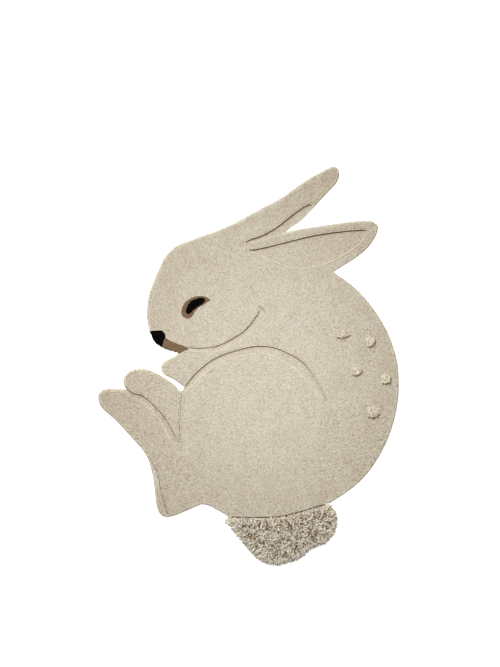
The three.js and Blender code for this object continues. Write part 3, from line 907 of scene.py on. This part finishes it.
def tuft_paths(x, y, across, along, heading, seed):
    """Yarns that lie forwards like a fan, in layers from the rear to the blunt end, each layer from right
    to left. A yarn starts in the pile, and its tip is further forward and further out, higher the
    nearer its layer is to the blunt end."""
    rng = np.random.default_rng(seed)
    layer = np.repeat(TUFT_LAYERS, TUFT_ACROSS)
    side = np.tile(np.linspace(-1, 1, TUFT_ACROSS), len(TUFT_LAYERS))
    count = len(layer)
    way = np.radians(heading)
    ahead = np.array([np.cos(way), np.sin(way)])
    left = np.array([-np.sin(way), np.cos(way)])
    rear = (-0.5 + 0.5 * layer) * along
    front = (-0.05 + 0.55 * layer - 0.2 * side ** 2) * along + rng.normal(0, 1.3, count)
    rise = TUFT_RISE * (0.2 + 0.8 * layer) * (1 - 0.4 * side ** 2) + rng.normal(0, 1.3 * MM, count)
    wide = 0.5 * across * side * (0.5 + 0.5 * layer) + rng.normal(0, 0.6, count)

    def spot(forward, sideways, level):
        flat = forward[:, None] * ahead + sideways[:, None] * left
        return np.column_stack([(np.array([x, y]) + flat) * MM, PILE_TOP + level])

    foot = spot(rear, 0.6 * wide, np.full(count, -4 * MM))
    knee = spot(0.55 * rear + 0.45 * front, 0.85 * wide, 0.75 * rise)
    tip = spot(front, wide, rise)
    return np.stack([foot, knee, 0.25 * knee + 0.75 * tip, tip], axis=1)


for number, row in enumerate(TUFTS, 1):
    paths = tuft_paths(*row, 60 + number)
    points, faces, which, share = yarns(paths, np.tile(TUFT_SIZES, (len(paths), 1)), 4, 80 + number)
    rng = np.random.default_rng(70 + number)
    share = np.interp(share, np.linspace(0, 1, len(TUFT_SHARES)), TUFT_SHARES)
    share *= rng.uniform(0.9, 1, len(paths))[which]
    tone = rng.uniform(-0.9, 0.2, len(paths))
    made = points, faces, which, share
    tuft = yarn_piece(f"back_tuft_yarns_{number}", made, tone, cream_wool)
    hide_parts(f"back_tuft_{number}")

# %% [markdown]
# ## The shaggy tail
# The tail's yarns are long, so they cannot stand: they curl over one another in all directions, with
# deep dark gaps between, and at the rim they lie outwards on the floor like a comb. A low mass painted
# in the dark brown of shade fills the depths, and some thousands of curved strands lie on it, a quarter
# of them painted that brown as shade between the locks.

# %% The tail's depths
TAIL_RISE = 13 * MM
TAIL_LOW = 4 * MM
TAIL_DEPTH = 4.5 * MM
rim_curve = smooth_walk(TAIL_RIM, 2.4 * MM)


def tail_mass(places):
    """A low dome: it climbs from the free rim as a quarter-round over forty-five millimetres, and is lower
    along the seam."""
    to_rim = line_distance(places, rim_curve, 1)
    to_seam = line_distance(places, seam_curve, 1)
    share = 1 - np.clip(to_rim / (45 * MM), 0, 1)
    return TAIL_LOW + TAIL_RISE * np.sqrt(1 - share ** 2) * (0.55 + 0.45 * eased(to_seam / (35 * MM)))


seam_middle = np.array([85, -449]) * MM
inner_tail = 0.93 * (tail_loop - seam_middle) + seam_middle
places, _, quads = field_grid(inner_tail, 5 * MM)
tail_top = tail_mass(places) - TAIL_DEPTH + 0.5 * MM * ripple(places, (20 * MM, 45 * MM), 3)
tail_top = np.maximum(tail_top, 2 * MM)
# The dark mass has tone and share nought: it is painted wholly in the brown shade of the depths.
depth_shade = {"tone": np.zeros(len(places)), "share": np.zeros(len(places))}
tail_depths = closed_slab("tail_depths", places, tail_top, quads, shag_wool, depth_shade)

# %% The tail's locks
SHAG_SPACING = 5 * MM
SHAG_STATIONS = 8
SHAG_RADIUS = 1.15 * MM
STRANDS = 2
SHADED_STRANDS = 0.26
CURLY_ARCH = (5, 10)
COMB_ARCH = (3, 7)
SEAM_ARCH = (3, 6)


def shag_paths(places, heading, curl, length, lift, arches, seed):
    """Each lock leaves the mass, arches over and comes down. Its heading turns steadily by the curl on the
    way, so from above it is an arc."""
    rng = np.random.default_rng(seed)
    count = len(places)
    t = np.linspace(0, 1, SHAG_STATIONS)
    way = heading[:, None] + curl[:, None] * t
    step = length[:, None] / (SHAG_STATIONS - 1)
    x, y = (np.cumsum(part(way) * step, axis=1) - part(way[:, :1]) * step for part in (np.cos, np.sin))
    arch = rng.uniform(*arches, (count, 1)) * MM
    level = lift[:, None] + arch * np.sin(np.pi * (0.12 + 0.8 * t)) - 1.5 * MM * t
    wander = 0.8 * MM * np.sin(rng.uniform(0, 6.3, (count, 1)) + 9 * t)
    return np.stack([places[:, :1] + x, places[:, 1:] + y, level + wander], axis=2)


rng = np.random.default_rng(90)
places = scattered(tail_loop, SHAG_SPACING, 5 * MM, 91)
to_rim = line_distance(places, rim_curve, 1)
to_seam = line_distance(places, seam_curve, 1)
middle = to_rim > 15 * MM
places, to_rim, to_seam = places[middle], to_rim[middle], to_seam[middle]
count = len(places)
# Near the rim the locks lie outwards. Further in they curl, and one that turns back needs room there too.
freedom = 0.25 + 0.75 * eased((to_rim - 20 * MM) / (35 * MM))
away = places - np.array([85, -400]) * MM
turned = freedom * rng.normal(0, 1.4, count)
curl = freedom * rng.choice([-1, 1], count) * rng.uniform(0.6, 3.4, count)
turning = np.abs(turned) + np.abs(curl) > 1.4
room = np.where(turning, np.minimum(to_rim, to_seam + 2 * MM), to_rim)
length = np.clip(room - 3 * MM, 6 * MM, rng.uniform(14, 24, count) * MM)
curly = shag_paths(places, np.arctan2(away[:, 1], away[:, 0]) + turned, curl, length,
                   tail_mass(places) - 5 * MM, CURLY_ARCH, 92)
print("curly locks:", count)

# %% The locks that lie outwards at the tail's rim, and those along the seam
def square_to(curve, inset, spread, seed):
    """Places beside a curve, to its right by the inset, and headings from them square to the curve."""
    rng = np.random.default_rng(seed)
    _, left = ways_along(curve)
    heading = np.arctan2(left[:, 1], left[:, 0])
    return beside(curve, -inset), heading + rng.normal(0, spread, len(curve))


comb_curve = np.vstack([rim_curve[1:-1], 0.5 * (rim_curve[1:-1] + rim_curve[2:])])
count = len(comb_curve)
inset = rng.uniform(14, 34, count) * MM
comb_places, comb_heading = square_to(comb_curve, inset, 0.16, 95)
inside = loop_distance(comb_places, tail_loop)[0] > 3 * MM
comb_lift = 0.55 * tail_mass(comb_places)
comb_length = inset + rng.uniform(-4, 1.5, count) * MM
comb = shag_paths(comb_places, comb_heading, rng.normal(0, 0.4, count), comb_length, comb_lift, COMB_ARCH, 93)
comb[:, :, 2] -= 0.85 * comb_lift[:, None] * np.linspace(0, 1, SHAG_STATIONS) ** 1.5
comb = comb[inside]
from_window = -np.column_stack([np.cos(comb_heading), np.sin(comb_heading)])[inside] @ window_way
seam_back = np.vstack([seam_curve[::-1], seam_curve[::-1]])
count = len(seam_back)
inset = rng.uniform(7, 18, count) * MM
seam_places, seam_heading = square_to(seam_back, inset, 0.5, 96)
seam_length = inset - rng.uniform(-1.5, 4, count) * MM
seam_row = shag_paths(seam_places, seam_heading, rng.normal(0, 0.9, count), seam_length,
                      np.full(count, 8.5 * MM), SEAM_ARCH, 97)
print("comb locks:", len(comb), "seam locks:", len(seam_row))

# %% Join the tail
def in_strands(locks, strands, spread):
    """Each lock as a few strands side by side, which part a little towards the tip."""
    offset = rng.normal(0, spread, (len(locks), strands, 1, 3)) * (1, 1, 0.6)
    part = np.linspace(0.7, 1.3, SHAG_STATIONS)[:, None]
    tone = np.repeat(rng.uniform(0.3, 0.7, len(locks)), strands)
    tone += rng.uniform(-0.8, 0.8, len(locks) * strands)
    return (locks[:, None] + offset * part).reshape(-1, SHAG_STATIONS, 3), tone


def shag_piece(name, strands, tone, seed):
    """A joined mesh of strands, a quarter of them painted in the brown shade of the depths. The others too
    go over to that painted shade the lower they lie in the mass, but less so near the rim and the seam,
    where the yarns lie in order."""
    strands[:, :, 2] = np.maximum(strands[:, :, 2], 1.5 * SHAG_RADIUS)
    size = np.full((len(strands), SHAG_STATIONS), SHAG_RADIUS) * rng.uniform(0.85, 1.25, (len(strands), 1))
    size[:, -1] *= 0.5
    points, faces, which, _ = yarns(strands, size, 3, seed)
    flat = points[:, :2]
    height = points[:, 2] - tail_mass(flat)
    by_rim = eased(1.3 - line_distance(flat, rim_curve, 30 * MM) / (24 * MM))
    by_seam = eased(1.1 - line_distance(flat, seam_curve, 30 * MM) / (24 * MM))
    pale = np.maximum(by_rim, 0.7 * by_seam)
    # The lower a strand lies in the mass, the more painted shade it takes.
    share = np.maximum(eased((height + TAIL_DEPTH) / (6.5 * MM)), 0.85 * pale)
    # A quarter of the strands are painted in the brown shade of the gaps, less so near the rim and the seam.
    brown = rng.uniform(size=len(strands)) < SHADED_STRANDS
    share *= np.where(brown[which], 0.15 + 0.7 * pale, 1)
    return yarn_piece(name, (points, faces, which, share), tone, shag_wool)


# Locks of the rim that point away from the window are given a paler tone, as little light meets them.
curly_strands, curly_tone = in_strands(curly, STRANDS, 1.5 * MM)
comb_strands, comb_tone = in_strands(comb, STRANDS, 0.7 * MM)
comb_tone = 0.3 + 0.7 * comb_tone + 0.4 * np.repeat(from_window, STRANDS)
seam_strands, seam_tone = in_strands(seam_row, 1, 0.5 * MM)
tail = shag_piece("tail_yarns", curly_strands, curly_tone, 94)
tail_edge = shag_piece("tail_edge_yarns", np.concatenate([comb_strands, seam_strands]),
                       np.concatenate([comb_tone, seam_tone]), 98)
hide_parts("tail_shag")

# %% [markdown]
# ## One sheet of cloth
# All the yarns are tufted into one backing cloth that lies flat on the floor.

# %% [markdown]
# ## Floor, light and camera
# The rug lies on a plain white floor and is seen from straight above. A large soft lamp, the window,
# stands beyond the ears and to the left, so every cut shows a dark upper wall and a bright lower one.
# A weak lamp close overhead makes the middle of the rug a little brighter than its ends.

# %% Floor
floor_mesh = bpy.data.meshes.new("floor")
floor_mesh.from_pydata([(-6, -6, -0.0004), (6, -6, -0.0004), (6, 6, -0.0004), (-6, 6, -0.0004)], [],
                       [(0, 1, 2, 3)])
floor = add_object("floor", floor_mesh)
floor_paint = bpy.data.materials.new("floor paint")
floor_paint.use_nodes = True
floor_shader = floor_paint.node_tree.nodes["Principled BSDF"]
set_inputs(floor_shader, {"Base Color": (0.92, 0.92, 0.92, 1), "Roughness": 0.9})
set_inputs(floor_shader, {"Emission Color": (1, 1, 1, 1), "Emission Strength": 0.75})
floor_mesh.materials.append(floor_paint)

# %% Light
scene = bpy.context.scene
scene.view_settings.view_transform = "Standard"
world = bpy.data.worlds.new("studio")
scene.world = world
world.use_nodes = True
set_inputs(world.node_tree.nodes["Background"], {"Color": (1, 1, 1, 1), "Strength": 0.2})


def lamp(name, place, target, size, power):
    """A square area lamp at a place, turned to face a target."""
    light = bpy.data.lights.new(name, "AREA")
    light.size = size
    light.energy = power
    holder = add_object(name, light)
    holder.location = place
    holder.visible_camera = False
    way = np.array(target) - np.array(place)
    flat = np.hypot(way[0], way[1])
    holder.rotation_euler = (np.arctan2(flat, -way[2]), 0, np.arctan2(way[1], way[0]) - np.pi / 2)
    print("lamp:", name, "watts:", power)


lamp("window", WINDOW, (0.0, 0.0, 0.0), 2.4, 606)
lamp("overhead", (0.03, -0.03, 0.95), (0.03, -0.03, 0.0), 0.5, 3.75)

# %% Camera
PIXEL = 3 * MM
IMAGE = (500, 667)
LENS, SENSOR = 85, 36
aim = np.array([4.5, 99]) * MM
camera_data = bpy.data.cameras.new("camera")
camera_data.lens = LENS
camera_data.sensor_width = SENSOR
camera = add_object("camera", camera_data)
camera.location = (aim[0], aim[1], PILE_TOP + IMAGE[1] * PIXEL * LENS / SENSOR)
scene.camera = camera
print("camera height:", round(camera.location.z, 3))
